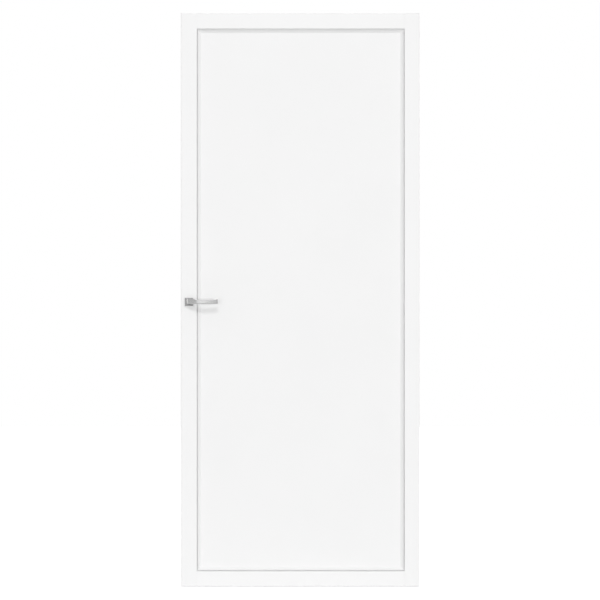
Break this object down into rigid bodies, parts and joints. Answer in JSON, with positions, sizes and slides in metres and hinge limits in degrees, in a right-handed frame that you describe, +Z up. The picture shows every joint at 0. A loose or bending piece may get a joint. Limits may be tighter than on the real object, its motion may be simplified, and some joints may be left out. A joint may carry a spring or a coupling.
{
  "type": "panel door leaf with a lever handle",
  "caption": "White flush-edged door leaf with one recessed flat panel, coved beads, a latch in its lock edge and a lever handle that turns on a square rose.",
  "frame": {"origin": "on the flat hinge edge of the leaf, at the middle of its thickness and level with its bottom edge", "axes": "+X runs out of the hinge edge, to the right seen from the front; +Y points to the back face; +Z is up"},
  "size_m": [0.88, 0.136, 2.115],
  "materials": {
    "white_lacquer": "satin",
    "satin_steel": "satin",
    "latch_steel": "satin",
    "bearing_plastic": "matte"
  },
  "bodies": {
    "leaf": {"lock_stile": "white_lacquer", "hinge_stile": "white_lacquer", "top_rail": "white_lacquer", "bottom_rail": "white_lacquer", "panel": "white_lacquer", "bead_front_lock": "white_lacquer", "bead_front_hinge": "white_lacquer", "bead_front_top": "white_lacquer", "bead_front_bottom": "white_lacquer", "bead_back_lock": "white_lacquer", "bead_back_hinge": "white_lacquer", "bead_back_top": "white_lacquer", "bead_back_bottom": "white_lacquer", "rose_front": "satin_steel", "rose_back": "satin_steel", "bush_front": "bearing_plastic", "bush_back": "bearing_plastic", "latch_faceplate": "satin_steel", "latch_case": "latch_steel", "latch_bolt": "bearing_plastic"},
    "handle": {"lever_front": "satin_steel", "lever_back": "satin_steel", "spindle": "latch_steel"}
  },
  "joints": [
    {"name": "handle_turn", "type": "hinge", "parent": "leaf", "child": "handle", "pos_m": [-0.85, 0, 1.05], "axis": [0, 1, 0], "range_deg": [0, 40], "stiffness_Nm_per_rad": 1.5, "springref_deg": -20.05}
  ]
}
